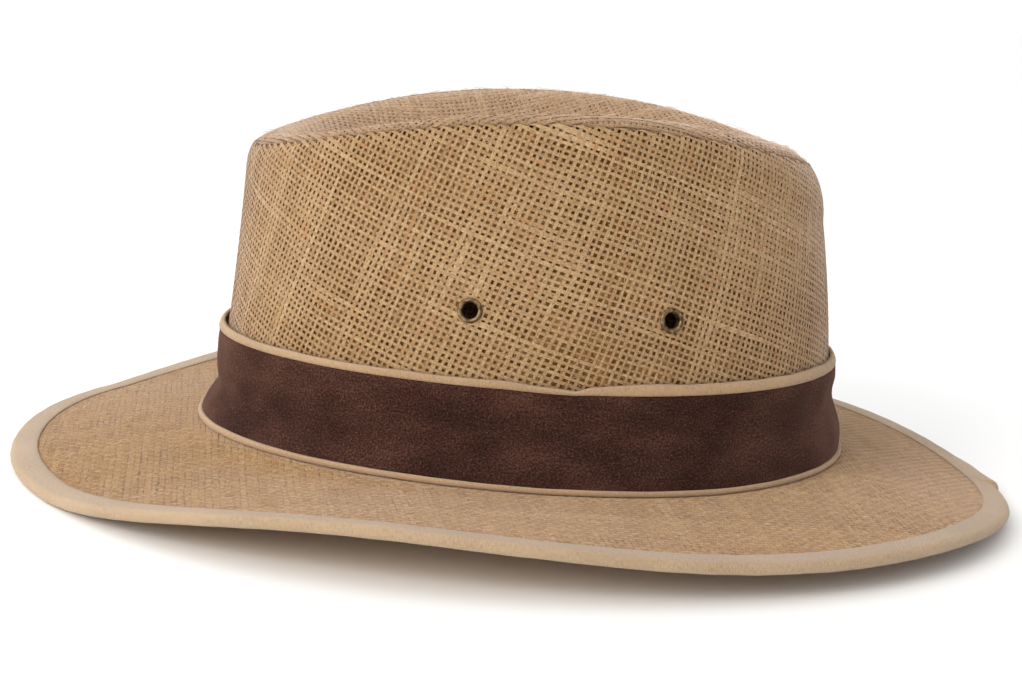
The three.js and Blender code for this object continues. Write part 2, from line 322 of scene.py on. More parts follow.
def read_table(table, turns, distance):
    """A point between a table's rows and columns, weighted by how near each is."""
    row = np.mod(turns, 1.0) * len(table)
    column = np.clip(distance / TABLE_STEP, 0, table.shape[1] - 1.001)
    low_row, low_column = np.floor(row).astype(int), np.floor(column).astype(int)
    across, along = (row - low_row)[..., None], (column - low_column)[..., None]
    low_row, next_row = low_row % len(table), (low_row + 1) % len(table)
    low = blend(table[low_row, low_column], table[low_row, low_column + 1], along)
    high = blend(table[next_row, low_column], table[next_row, low_column + 1], along)
    return blend(low, high, across)


def side_table():
    """Rows up the crown's side: the wall, the shoulder to the seam, and the tuck."""
    angle = even_turns(TABLE_TURNS)
    round_up = crown_value("round_up", angle)
    bend = crown_value("crest", angle) - round_up
    wall = blend(CROWN_FOOT, bend, np.linspace(0, 1, 80)[None])
    shoulder = bend + round_up * np.sin(seam_turn(angle, -SEAM_TUCK) * np.linspace(0.03, 1, 40)[None])
    path = crown_point(angle, np.concatenate([wall, shoulder], axis=1))
    outward = unit(np.cross(path[:, -1] - path[:, -2], round_hat(path[:, -1])))
    table, run = by_distance(tucked(path, outward))
    return table, run[:, path.shape[1] - 1]


def tip_middle():
    """The middle of the tip in Y: half way between the rear and the front of the crest."""
    front, rear = CROWN_PROFILE["front"]["crest"], CROWN_PROFILE["rear"]["crest"]
    return (crown_point(0.0, rear)[1] + crown_point(np.pi, front)[1]) / 2


def at_turn(lengths, turns):
    """The length of a table's rows at shares of a turn round the hat."""
    return np.interp(turns, np.arange(TABLE_TURNS) / TABLE_TURNS, lengths, period=1.0)


def slope(cloth, u, v, way_u, way_v):
    """The way that a cloth takes at a place of its flat sheet, along a direction of the sheet."""
    step_u, step_v = way_u * CLOTH_STEP, way_v * CLOTH_STEP
    return cloth(u + step_u, v + step_v) - cloth(u - step_u, v - step_v)


def tip_table():
    """Rows from the tip's middle outwards, one for each way in plan: the dented saddle to the
    crest, the shoulder down to the seam, and the tuck."""
    middle = tip_middle()
    every = TURN * np.arange(-8, TABLE_TURNS + 8) / TABLE_TURNS
    crest = crown_point(every, crown_value("crest", every))
    ways = np.unwrap(np.arctan2(crest[:, 0], crest[:, 1] - middle))
    angle = np.interp(TURN * np.arange(TABLE_TURNS) / TABLE_TURNS, ways, every)[:, None]
    reach = np.linspace(0, 1, 120)[None]
    edge = crown_point(angle, crown_value("crest", angle))
    rise = np.clip((reach - DENT_FLOOR) / (1 - DENT_FLOOR), 0, 1)
    dent = DENT_DEPTH * (1 - ease(rise))
    dish = place(
        edge[..., 0] * reach,
        middle + (edge[..., 1] - middle) * reach,
        crown_value("crest", angle, reach) - dent,
    )
    arc = blend(np.pi / 2, seam_turn(angle, GAP + SEAM_TUCK), np.linspace(0.03, 1, 40)[None])
    crest_height = crown_value("crest", angle)
    shoulder = crown_point(angle, crest_height - crown_value("round_up", angle) * (1 - np.sin(arc)))
    path = np.concatenate([dish, shoulder], axis=1)
    outward = unit(np.cross(round_hat(path[:, -1]), path[:, -1] - path[:, -2]))
    table, run = by_distance(tucked(path, outward))
    return table, run[:, path.shape[1] - 1]


SIDE_TABLE, SIDE_LENGTH = side_table()
TIP_TABLE, TIP_LENGTH = tip_table()


def side_cloth(u, v):
    """The crown's side: u runs round it as a share of SIDE_ROUND and v up its wall from its foot."""
    return read_table(SIDE_TABLE, u / SIDE_ROUND, v)


def tip_turns(u, v):
    """The way of a place of the tip's flat sheet from its middle, as a share of a turn."""
    return np.mod(np.arctan2(u, v) / TURN, 1.0)


def tip_cloth(u, v):
    """The crown's tip: a place of the flat sheet lies the same way from the middle, and as far
    along the dented surface."""
    return read_table(TIP_TABLE, tip_turns(u, v), np.hypot(u, v))


def brim_ring(x, y):
    """The share between head opening and wire, and the angle, of a place in plan, by halving."""
    low, high = np.full(np.shape(x), -0.4), np.full(np.shape(x), 1.3)
    inner = {key: CROWN_BASE[key] - CLOTH_WALL for key in ("half_length", "half_width")}

    def scaled(share):
        width = blend(inner["half_width"], BRIM_EDGE["half_width"], share)
        length = blend(inner["half_length"], BRIM_EDGE["half_length"], share)
        middle = blend(CROWN_BASE["middle"], BRIM_EDGE["middle"], share)
        return x / width, (y - middle) / length

    for _ in range(18):
        share = (low + high) / 2
        across, along = scaled(share)
        outside = np.abs(across) ** BRIM_EDGE["power"] + np.abs(along) ** BRIM_EDGE["power"] > 1
        low, high = np.where(outside, share, low), np.where(outside, high, share)
    across, along = (signed_power(part, BRIM_EDGE["power"] / 2) for part in scaled(low))
    return low, np.arctan2(across, along)


def brim_cloth(u, v):
    """The brim's upper face: its flat sheet is its plan."""
    share, angle = brim_ring(u, v)
    return place(u, v, brim_height(angle, share) + BRIM_THICKNESS / 2)


# ---------------------------------------------------------------- making meshes
def add_piece(name, points, faces, materials, uv=None, tags=None, face_material=None, smooth=None):
    """A mesh piece that rides on the hat, from points in millimetres and arrays of corner numbers."""
    mesh = bpy.data.meshes.new(name)
    points = np.asarray(points, float).reshape(-1, 3)
    corners = np.concatenate([part.ravel() for part in faces]).astype(np.int32)
    sizes = np.concatenate([np.full(len(part), part.shape[1]) for part in faces])
    starts = np.concatenate([[0], np.cumsum(sizes)[:-1]]).astype(np.int32)
    mesh.vertices.add(len(points))
    mesh.vertices.foreach_set("co", (points * MM).astype(np.float32).ravel())
    mesh.loops.add(len(corners))
    mesh.loops.foreach_set("vertex_index", corners)
    mesh.polygons.add(len(starts))
    mesh.polygons.foreach_set("loop_start", starts)
    mesh.polygons.foreach_set("use_smooth", np.ones(len(starts), bool) if smooth is None else smooth)
    if face_material is not None:
        mesh.polygons.foreach_set("material_index", face_material.astype(np.int32))
    if uv is not None:
        mesh.uv_layers.new(name="cloth").data.foreach_set("uv", uv.astype(np.float32).ravel())
    for tag, values in (tags or {}).items():
        attribute = mesh.attributes.new(tag, "FLOAT", "POINT")
        attribute.data.foreach_set("value", np.asarray(values, np.float32).ravel())
    mesh.update(calc_edges=True)
    for material in materials:
        mesh.materials.append(material)
    piece = put(name, mesh)
    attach(piece, "root")
    return piece


def grid_faces(rows, columns, wrap_rows=False, wrap_columns=False):
    """The quads of a grid of points, and each quad corner's row and column before wrapping."""
    row, column = np.meshgrid(
        np.arange(rows if wrap_rows else rows - 1),
        np.arange(columns if wrap_columns else columns - 1),
        indexing="ij",
    )
    corner_rows = np.stack([row, row, row + 1, row + 1], axis=-1).reshape(-1, 4)
    corner_columns = np.stack([column, column + 1, column + 1, column], axis=-1).reshape(-1, 4)
    quads = (corner_rows % rows) * columns + corner_columns % columns
    return quads, corner_rows, corner_columns


def ring_uv(points, corner_rows, corner_columns):
    """Texture places in millimetres: the mean length round the hat, and the length along the cut."""
    closed = np.concatenate([points, points[:, :1]], axis=1)
    cut = np.linalg.norm(np.diff(closed, axis=1), axis=-1).mean(axis=0)
    along = np.concatenate([[0], np.cumsum(cut)])
    around = np.linalg.norm(points - np.roll(points, 1, axis=0), axis=-1).mean(axis=1)
    turned = np.concatenate([[0], np.cumsum(around)])
    return np.stack([turned[corner_rows], along[corner_columns]], axis=-1)


def add_ring(name, points, materials, closed_cut=True, keep=None, face_material=None, tags=None):
    """A ring round the hat from a grid of points: rows round it, and columns along its cut."""
    rows, columns = points.shape[:2]
    quads, corner_rows, corner_columns = grid_faces(rows, columns, True, closed_cut)
    if keep is not None:
        middle = points.reshape(-1, 3)[quads].mean(axis=1)
        chosen = keep(middle)
        quads, corner_rows, corner_columns = (
            part[chosen] for part in (quads, corner_rows, corner_columns)
        )
    numbers = None if face_material is None else face_material(corner_columns[:, 0])
    uv = ring_uv(points, corner_rows, corner_columns)
    return add_piece(name, points, [quads], materials, uv, tags, numbers)


def ripple(angle, other, seed, orders, reach, size):
    """A gentle unevenness: sines round the hat and along the other parameter, drawn by a seed."""
    draw = np.random.default_rng(seed)
    total = 0.0
    for order in orders:
        phase, slope = draw.uniform(0, TURN), draw.normal(0, 1) * TURN / reach
        total = total + np.sin(order * angle + slope * other + phase) * draw.uniform(0.4, 1)
    return size * total / math.sqrt(len(orders))


# ---------------------------------------------------------------- finishes
def shade(red, green, blue):
    """A colour given in the 0 to 255 steps of a paint chart, as the linear light that nodes use."""
    chart = np.array([red, green, blue]) / 255
    linear = np.where(chart <= 0.04045, chart / 12.92, ((chart + 0.055) / 1.055) ** 2.4)
    return (*linear, 1.0)


class Nodes:
    """The nodes of a material or a world, and short calls that add to them. A socket, under its
    number or its name with underscores, is set by a value or by a link."""

    def __init__(self, owner):
        owner.use_nodes = True
        self.tree = owner.node_tree

    def set(self, node, sockets):
        for key, value in sockets.items():
            socket = node.inputs[key.replace("_", " ") if isinstance(key, str) else key]
            if isinstance(value, bpy.types.NodeSocket):
                self.tree.links.new(value, socket)
            else:
                socket.default_value = value

    def add(self, kind, sockets, **settings):
        node = self.tree.nodes.new(f"ShaderNode{kind}")
        for key, value in settings.items():
            setattr(node, key, value)
        self.set(node, sockets)
        return node

    def math(self, operation, *values):
        return self.add("Math", dict(enumerate(values)), operation=operation).outputs[0]


class Finish(Nodes):
    """A material."""

    def __init__(self, name, **surface):
        self.material = bpy.data.materials.new(name)
        super().__init__(self.material)
        self.surface(**surface)

    def surface(self, **sockets):
        """Sets sockets of the surface, and returns the material."""
        self.set(self.tree.nodes["Principled BSDF"], sockets)
        return self.material

    def total(self, *parts):
        """The sum of values times their weights, which come in pairs."""
        result = 0.0
        for value, weight in parts:
            result = self.math("MULTIPLY_ADD", value, weight, result)
        return result

    def tag(self, name):
        return self.add("Attribute", {}, attribute_name=name).outputs["Fac"]

    def placed(self, scale, own=True):
        """Texture places stretched by scale: the piece's own in millimetres, or the hat's in metres."""
        coordinates = self.add("TexCoord", {}).outputs["UV" if own else "Object"]
        return self.add("Mapping", {"Vector": coordinates, "Scale": scale}).outputs[0]

    def noise(self, places, detail, roughness=0.55):
        sockets = {"Vector": places, "Scale": 1.0, "Detail": detail, "Roughness": roughness}
        return self.add("TexNoise", sockets).outputs[0]

    def grain(self, along, across, detail, roughness=0.55):
        """Noise over the piece's own texture places."""
        return self.noise(self.placed((along, across, 1.0)), detail, roughness)

    def clouds(self, scale, detail, roughness=0.55, upward=None):
        """Noise over the hat's places."""
        return self.noise(self.placed((scale, scale, upward or scale), False), detail, roughness)

    def ramp(self, value, *stops):
        """A colour by value, from stops of a place and a colour."""
        node = self.add("ValToRGB", {"Fac": value})
        elements = node.color_ramp.elements
        while len(elements) < len(stops):
            elements.new(0.5)
        for element, (position, color) in zip(elements, stops):
            element.position = position
            element.color = color
        return node.outputs[0]

    def mix(self, share, first, second, way="MIX"):
        node = self.add("Mix", {}, data_type="RGBA", blend_type=way)
        self.set(node, {0: share, 6: first, 7: second})
        return node.outputs[2]

    def bump(self, height, strength, distance):
        sockets = {"Height": height, "Strength": strength, "Distance": distance * MM}
        return self.add("Bump", sockets).outputs[0]


def yarn_finish(name, nap, bloom, dark, middle, light, warm):
    """Jute yarn: its tone and warmth come from the yarn's own tags, with fibres along it. Less nap
    keeps its bloom closer to the edges."""
    finish = Finish(name, Roughness=0.95, Sheen_Weight=bloom, Sheen_Roughness=nap,
                    Sheen_Tint=shade(255, 232, 222), Specular_IOR_Level=0.12)
    strands = finish.grain(0.7, 15.0, 4.0, 0.7)
    flecks = finish.grain(1.9, 6.5, 3.0, 0.6)
    tone = finish.math("ADD", finish.total((finish.tag("tone"), 1.0), (strands, 1.7)), -0.85)
    color = finish.ramp(tone, (0.05, dark), (0.5, middle), (0.95, light))
    color = finish.mix(finish.tag("warmth"), color, warm)
    speckled = finish.ramp(flecks, (0.34, (0.55, 0.47, 0.38, 1)), (0.50, (1, 1, 1, 1)))
    return finish.surface(
        Base_Color=finish.mix(0.8, color, speckled, "MULTIPLY"), Normal=finish.bump(strands, 0.8, 0.2))


def ground_finish(name, dark, light):
    """The ground that shows between the yarns, in clouds from dark to light. On the crown's side its
    colours are painted shade of the hat's dim inside seen through the holes, lighter where loose
    fibres fill them.
    """
    finish = Finish(name, Roughness=1.0, Specular_IOR_Level=0.1)
    share = finish.total((finish.clouds(130.0, 2.0), 0.5), (finish.clouds(900.0, 2.0), 0.5))
    return finish.surface(Base_Color=finish.ramp(share, (0.4, dark), (0.62, light)))


def flat_weave_finish(name, painted_gap_shade, yarn, pitch):
    """Burlap seen from its inner side: a plain weave over the piece's own texture places, as two
    sets of rounded yarns that take turns on top. Where the yarns lie low, in the gaps between
    them, the colour is painted darker as shade."""
    finish = Finish(name, Roughness=0.95, Sheen_Weight=0.2, Specular_IOR_Level=0.2)
    places = finish.add("SeparateXYZ", {0: finish.placed((1 / pitch, 1 / pitch, 1.0))}).outputs
    turns = [finish.math("MULTIPLY", places[axis], math.pi) for axis in (0, 1)]
    lift = finish.math("MULTIPLY", *(finish.math("SINE", turn) for turn in turns))
    sets = [
        finish.total((finish.math("ABSOLUTE", finish.math("COSINE", turn)), 1.0), (lift, sign))
        for turn, sign in zip(turns, (0.5, -0.5))
    ]
    height = finish.math("MAXIMUM", *sets)
    share = finish.total((height, 1.0), (finish.grain(2.5, 2.5, 3.0), 0.4))
    return finish.surface(
        Base_Color=finish.ramp(share, (0.75, painted_gap_shade), (1.0, yarn)), Normal=finish.bump(height, 0.8, 0.4))


def tape_finish(name, dark, light, painted_edge_light, threads):
    """Close cotton cloth: a fine slanting rib, uneven threads, a soft bloom at its edges, and a
    warmer tint where the piece's tag marks its round edge. That tint is painted light: the round
    edge warmer than the flat faces, which take the sky's cooler light."""
    finish = Finish(name, Roughness=0.92, Sheen_Weight=0.35, Sheen_Roughness=0.5,
                    Sheen_Tint=shade(240, 236, 235), Specular_IOR_Level=0.25)
    places = finish.add("SeparateXYZ", {0: finish.placed((threads, threads, 1.0))}).outputs
    slant = finish.total((places[0], math.pi), (places[1], 1.4 * math.pi))
    rib = finish.math("ABSOLUTE", finish.math("SINE", slant))
    uneven = finish.grain(2.2, 0.7, 3.0, 0.6)
    fuzz = finish.grain(3.1, 2.6, 2.0, 0.6)
    share = finish.total((rib, 0.4), (uneven, 0.6), (finish.clouds(28.0, 2.0), 0.3), (fuzz, 0.5))
    color = finish.ramp(share, (0.80, dark), (1.20, light))
    height = finish.total((rib, 1.0), (uneven, 1.0), (fuzz, 1.0))
    return finish.surface(
        Base_Color=finish.mix(finish.tag("painted_edge_light"), color, finish.mix(1.0, color, painted_edge_light, "MULTIPLY")),
        Normal=finish.bump(height, 0.8, 0.16))


def suede_finish():
    """Dark brown suede: clouds of nap laid either way, stretched round the band, which also serve as
    painted shade of shallow creases; short fibres, and a greyish bloom.
    """
    finish = Finish("suede", Roughness=1.0, Sheen_Weight=0.3, Sheen_Roughness=0.4,
                    Sheen_Tint=shade(225, 176, 156), Specular_IOR_Level=0.08)
    # Clouds stretched round the band: partly nap, partly painted shade of shallow creases.
    nap_and_crease_shade = finish.clouds(34.0, 4.0, 0.6, 70.0)
    nap = finish.grain(0.9, 1.9, 3.0, 0.7)
    fibres = finish.grain(1.7, 1.5, 2.0, 0.7)
    share = finish.total((nap_and_crease_shade, 0.3), (nap, 0.25), (fibres, 0.45))
    color = finish.ramp(share, (0.40, shade(34, 19, 15)), (0.5, shade(60, 38, 32)),
                        (0.60, shade(92, 63, 53)))
    height = finish.total((nap, 1.0), (fibres, 0.6))
    return finish.surface(Base_Color=color, Normal=finish.bump(height, 0.7, 0.25))


def brass_finish():
    """Old brass: brown tarnish in clouds over worn metal, dull and a little uneven."""
    finish = Finish("old_brass", Metallic=0.85)
    tarnish = finish.clouds(700.0, 4.0, 0.6)
    color = finish.ramp(tarnish, (0.35, shade(74, 56, 36)), (0.55, shade(126, 104, 72)),
                        (0.72, shade(168, 146, 108)))
    return finish.surface(Base_Color=color, Roughness=finish.math("MULTIPLY_ADD", tarnish, 0.35, 0.22),
                          Normal=finish.bump(tarnish, 0.25, 0.08))


def fibre_finish(name, dark, light):
    """A single loose fibre, light or dark by its own tag, with a fleck of tone along the hat."""
    finish = Finish(name, Roughness=0.8, Sheen_Weight=0.2, Specular_IOR_Level=0.2)
    tone = finish.total((finish.tag("tone"), 0.8), (finish.clouds(400.0, 2.0), 0.3))
    return finish.surface(Base_Color=finish.ramp(tone, (0.1, dark), (0.9, light)))


CROWN_YARN = yarn_finish(
    "crown_yarn", 0.32, 1.0, shade(120, 89, 58), shade(168, 137, 100), shade(198, 170, 134),
    shade(170, 124, 84))
# A paler, pinker copy of the crown's yarn: painted sheen for the haze of the tip seen edge-on.
TIP_YARN_PAINTED_SHEEN = yarn_finish(
    "tip_yarn_painted_sheen", 0.32, 1.0, shade(130, 99, 69), shade(169, 138, 107), shade(200, 173, 144),
    shade(172, 132, 98))
BRIM_YARN = yarn_finish(
    "brim_yarn", 0.21, 0.95, shade(104, 74, 45), shade(164, 128, 85), shade(202, 170, 126),
    shade(168, 122, 84))
# The crown ground's colours are painted shade of the hat's dim inside, seen between the yarns.
CROWN_SHADE_GROUND = ground_finish("crown_shade_ground", shade(112, 77, 40), shade(194, 148, 96))
CLOSE_GROUND = ground_finish("close_ground", shade(150, 112, 70), shade(180, 140, 94))
# Its first colour is painted shade in the gaps between the yarns.
INNER_BURLAP = flat_weave_finish("inner_burlap", shade(92, 64, 36), shade(190, 152, 104), YARN_PITCH)
# The fourth colour is painted light: a warmer tint on the tape's round edge.
EDGE_TAPE = tape_finish(
    "edge_tape", shade(136, 111, 87), shade(202, 177, 150), (1.0, 0.97, 0.88, 1), 1.6)
TRIM_CLOTH = tape_finish(
    "trim_cloth", shade(134, 104, 74), shade(199, 166, 128), (1.0, 1.0, 1.0, 1), 1.9)
SUEDE = suede_finish()
FIBRE = fibre_finish("jute_fibre", shade(168, 118, 72), shade(240, 216, 178))
SUEDE_FIBRE = fibre_finish("suede_fibre", shade(70, 46, 38), shade(150, 112, 94))
OLD_BRASS = brass_finish()


# ---------------------------------------------------------------- weaving
YARN_TOP = 0.5                  # the flat top's share of a yarn's width
GRID_PULL = 0.5                 # of the widest wave that pulls the cloth out of true
PULL_SEED = 7


def pulled(u, v):
    """The cloth's grid pulled out of true: broad sine waves, whole round the crown, on u and v."""
    draw = np.random.default_rng(PULL_SEED)
    moved = []
    for _ in range(2):
        waves = 0.0
        for order in (3, 5, 9, 14, 22):
            slope, phase = draw.normal(0, 1) / 28, draw.uniform(0, TURN)
            waves = waves + np.sin(TURN * order * u / SIDE_ROUND + slope * v + phase) / order**0.7
        moved.append(waves)
    return u + GRID_PULL * moved[0], v + GRID_PULL * moved[1]


def closeness(u, v):
    """Patches of the cloth whose yarns lie closer, near 1, or looser, near -1: crossed broad sines
    that are whole round the crown."""
    turn = TURN * u / SIDE_ROUND
    broad = np.sin(4 * turn + v / 19 + 0.6) * np.cos(3 * turn - v / 31)
    small = np.sin(13 * turn - v / 11 + 2.0) * np.cos(9 * turn + v / 8)
    return 0.65 * broad + 0.35 * small


def yarn_marks(numbers, along, draw):
    """What makes each yarn its own: its sideways wander, thickness, tone and warmth, from a value
    for the whole yarn and slow sines along it."""
    def one(low, high):
        return draw.uniform(low, high, (len(numbers), 1))

    def wave(low, high):
        return np.sin(TURN * along / one(low, high) + one(0, TURN))

    def patches(low, high, start, share):
        crest = np.clip(wave(low, high) - start, 0, 1) / (1 - start)
        return crest * (one(0, 1) < share)

    wander = draw.normal(0, 0.07, (len(numbers), 1))
    thick = 1 + draw.normal(0, 0.11, (len(numbers), 1))
    tone = 0.5 + draw.normal(0, 0.05, (len(numbers), 1))
    for reach in ((40, 110), (12, 30), (5, 9)):
        wander = wander + 0.045 * wave(*reach)
        thick = thick + 0.075 * wave(*reach)
        tone = tone + 0.04 * wave(*reach)
    slub = patches(90, 260, 0.86, 0.35)
    warm = patches(14, 60, 0.80, 0.4) * one(0.2, 0.8)
    thick = thick + 0.45 * slub + draw.normal(0, 0.03, along.shape)
    tone = tone + 0.06 * slub
    return wander, np.clip(thick, 0.6, 1.7), tone, warm


def weave(name, cloth, kept, tilt, steep, numbers, starts, steps, yarn, material, seed):
    """One set of a plain weave's parallel yarns, laid on a cloth.

    The yarns' grid is the flat sheet turned by tilt. Steep yarns run along its second axis and the
    others along its first. A yarn's line has a point where it crosses each yarn of the other set.
    It is lifted there by a cosine, which is 1 for a steep yarn where the two numbers' sum is even,
    and for the other where it is odd. Its cut is a low roof with a flat top and a flat floor.
    """
    draw = np.random.default_rng(seed)
    crossing = starts[:, None] + np.arange(steps)[None]
    along = crossing * YARN_PITCH
    wander, thick, tone, warmth = yarn_marks(numbers, along, draw)
    across = numbers[:, None] * YARN_PITCH + wander
    first, second = (across, along) if steep else (along, across)
    u, v = pulled(
        first * math.cos(tilt) - second * math.sin(tilt),
        first * math.sin(tilt) + second * math.cos(tilt),
    )
    run = (-math.sin(tilt), math.cos(tilt)) if steep else (math.cos(tilt), math.sin(tilt))
    ahead = unit(slope(cloth, u, v, *run))
    up = unit(np.cross(slope(cloth, u, v, run[1], -run[0]), ahead))
    aside = np.cross(ahead, up)
    sign = 1 if steep else -1
    lift = sign * yarn["lift"] * np.cos(np.pi * (numbers[:, None] + crossing))
    centre = parted(cloth(u, v)) + up * (lift - yarn["sink"])[..., None]
    close = yarn["close"](u, v)
    width = aside * (yarn["half_width"] * thick * (1 + 0.2 * close))[..., None]
    height = up * (yarn["rise"] * np.sqrt(thick))[..., None]
    corners = np.stack([
        centre + width - height / 2, centre + width * YARN_TOP + height / 2,
        centre - width * YARN_TOP + height / 2, centre - width - height / 2,
    ], axis=2)
    inside = kept(u, v)
    middle = (centre[:, :-1] + centre[:, 1:]) / 2
    joined = inside[:, :-1] & inside[:, 1:] & off_eyelets(middle, HOLE_CLEAR)
    used = np.zeros(inside.shape, bool)
    used[:, :-1] |= joined
    used[:, 1:] |= joined
    number = np.cumsum(used.ravel()).reshape(used.shape) - 1
    row, column = np.nonzero(joined)
    here, there = number[row, column] * 4, number[row, column + 1] * 4
    corner = np.arange(4)
    beside = (corner + 1) % 4
    sides = np.stack([
        here[:, None] + corner, there[:, None] + corner, there[:, None] + beside, here[:, None] + beside,
    ], axis=-1).reshape(-1, 4)
    blank = np.zeros((len(joined), 1), bool)
    begins = joined & ~np.concatenate([blank, joined[:, :-1]], axis=1)
    ends = joined & ~np.concatenate([joined[:, 1:], blank], axis=1)
    start_caps = number[:, :-1][begins][:, None] * 4 + corner
    end_caps = number[:, 1:][ends][:, None] * 4 + corner[::-1]
    place_here = along[row, column] + 37.0 * row
    place_there = place_here + YARN_PITCH
    side_uv = np.stack([
        np.stack(np.broadcast_arrays(place[:, None], (corner + over) / 4), axis=-1)
        for place, over in ((place_here, 0), (place_there, 0), (place_there, 1), (place_here, 1))
    ], axis=2).reshape(-1, 2)
    caps = len(start_caps) + len(end_caps)
    smooth = np.concatenate([np.tile(corner != 3, len(here)), np.zeros(caps, bool)])
    tags = {
        # Closer yarns are painted lighter; along the tip's crest this is a painted highlight.
        "tone": np.repeat((tone + yarn["close_tone_and_highlight"] * close)[used], 4),
        "warmth": np.repeat(warmth[used], 4),
    }
    faces = [part for part in (sides, start_caps, end_caps) if len(part)]
    uv = np.concatenate([side_uv, np.zeros((caps * 4, 2))])
    return add_piece(name, corners[used], faces, [material], uv, tags, smooth=smooth)


# ---------------------------------------------------------------- eyelets
EYELET_NODES = [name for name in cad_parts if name.startswith("eyelet")]
EYELET_BORE = 4.8
EYELET_BARREL = 5.6
EYELET_FLANGE = 7.6
EYELET_CLEAR = 3.0              # of the cloth from an eyelet's middle
HOLE_CLEAR = EYELET_CLEAR - 0.3  # of what is cut away there


def eyelet_seats():
    """Where each eyelet pierces the crown, and the way out of it, from its CAD node's middle."""
    turns = np.arange(TABLE_TURNS)[:, None] / TABLE_TURNS
    heights = np.arange(0, 90, 0.5)[None]
    surface = crown_point(turns * TURN, heights)
    seats = {}
    for name in EYELET_NODES:
        middle = sum(node_box(name)) / 2
        distance = np.linalg.norm(surface - middle, axis=-1)
        row, column = np.unravel_index(np.argmin(distance), distance.shape)
        angle, height = turns[row, 0] * TURN, heights[0, column]
        up = crown_point(angle, height + 1) - crown_point(angle, height - 1)
        around = crown_point(angle + 0.01, height) - crown_point(angle - 0.01, height)
        seats[name] = (crown_point(angle, height), unit(np.cross(up, around)))
    return seats


EYELET_SEATS = eyelet_seats()


def off_eyelets(points, clear):
    """Whether points lie further than clear from every eyelet's middle."""
    away = np.ones(points.shape[:-1], bool)
    for seat, _ in EYELET_SEATS.values():
        away &= np.linalg.norm(points - seat, axis=-1) > clear
    return away


def parted(points):
    """Points pushed straight away from each eyelet's middle, so that none is nearer than
    EYELET_CLEAR: the new distance is the fourth root of the sum of both fourth powers."""
    for seat, _ in EYELET_SEATS.values():
        away = points - seat
        distance = np.maximum(np.linalg.norm(away, axis=-1, keepdims=True), 1e-6)
        points = seat + away * ((distance**4 + EYELET_CLEAR**4) ** 0.25 / distance)
    return points


def add_eyelet(name, seat, outward):
    """A set eyelet, turned about its axis from a cut: a rolled flange outside, the barrel, and a
    flatter flange inside."""
    bore, barrel, flange = EYELET_BORE / 2, EYELET_BARREL / 2, EYELET_FLANGE / 2
    roll = np.linspace(-0.35 * np.pi, 0.92 * np.pi, 12)
    middle, size = (bore + flange) / 2, (flange - bore) / 2
    outer = [(middle + size * math.cos(bend), GAP + 0.25 + 0.62 * math.sin(bend)) for bend in roll]
    inside = -CLOTH_WALL - 0.5
    cut = np.array([
        (bore - 0.05, 0.0), (bore - 0.05, inside), (bore + 0.15, inside - 0.55),
        (barrel + 0.3, inside - 0.9), (flange - 0.35, inside - 0.7), (flange, inside - 0.35),
        (flange - 0.25, inside),
        (barrel, inside), (barrel, 0.05), *outer,
    ])
    steps = 40
    angle = even_turns(steps)
    aside = unit(np.cross(outward, (0, 0, 1)))
    over = np.cross(aside, outward)
    points = (
        seat
        + (cut[:, 0] * np.cos(angle))[..., None] * aside
        + (cut[:, 0] * np.sin(angle))[..., None] * over
        + (cut[:, 1] * np.ones_like(angle))[..., None] * outward
    )
    quads = grid_faces(steps, len(cut), True, True)[0]
    piece = add_piece(name + "_set", points, [quads[:, ::-1]], [OLD_BRASS])
    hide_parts(name)


for eyelet_name, (eyelet_seat, eyelet_out) in EYELET_SEATS.items():
    add_eyelet(eyelet_name, eyelet_seat, eyelet_out)


# ---------------------------------------------------------------- crown
GROUND_SINK = 0.66              # the ground's face under the cloth's outside
YARNS_START = 26.0              # up the side cloth, behind the band


def tip_close(u, v):
    """The tip is pressed closer than the side, and closest along its crest, by a bell curve. Its
    outer slope is as open as the side. The lighter tone that this gives the crest's yarns is a
    painted highlight where the crest turns over."""
    inside = tip_limit(u, v) - np.hypot(u, v)
    return 0.3 + bell(inside - 7, 4) - 1.1 * bell(inside, 3.2)


def tip_limit(u, v):
    """How far the tip's sheet reaches from its middle, towards a place of it."""
    return at_turn(TIP_LENGTH, tip_turns(u, v))


def side_limit(u):
    """How far the side's sheet reaches up from its foot."""
    return at_turn(SIDE_LENGTH, u / SIDE_ROUND)


def side_close(u, v):
    """The side's patches, closer still towards the rear and along the seam."""
    rear = np.clip(np.cos(TURN * u / SIDE_ROUND), 0, 1) ** 2
    return closeness(u, v) + 0.6 * rear + 0.6 * bell(side_limit(u) - v, 4.0)


def brim_close(u, v):
    """The brim is pressed evenly, with slight patches, and its yarns spread where it climbs to the
    crown, which closer ones make up for."""
    return 0.2 + 0.4 * closeness(u, v) + 1.4 * np.exp(-8 * brim_ring(u, v)[0])


# How far a yarn's middle lies under the cloth's outside, its half width, how far it is lifted where
# it passes over and lowered where it passes under, the height of its cut, where it lies closer, and
# how much lighter it is painted there, which along the tip's crest is a painted highlight.
SIDE_WEAVE = {"sink": 0.28, "half_width": 0.50, "lift": 0.08, "rise": 0.22,
              "close": side_close, "close_tone_and_highlight": 0.05}
# The tip's lightening along its crest is a painted highlight.
TIP_WEAVE = {"sink": 0.24, "half_width": 0.70, "lift": 0.045, "rise": 0.11,
             "close": tip_close, "close_tone_and_highlight": 0.14}
BRIM_WEAVE = {"sink": 0.12, "half_width": 0.97, "lift": 0.03, "rise": 0.05,
              "close": brim_close, "close_tone_and_highlight": 0.03}


def ground_sheet(cloth, turns, distances, sink):
    """The cloth's surface on a grid of turns and distances, parted by the eyelets and sunk along
    its normal."""
    points = parted(cloth(turns, distances))
    return points - unit(np.cross(np.gradient(points, axis=1), round_hat(points))) * sink


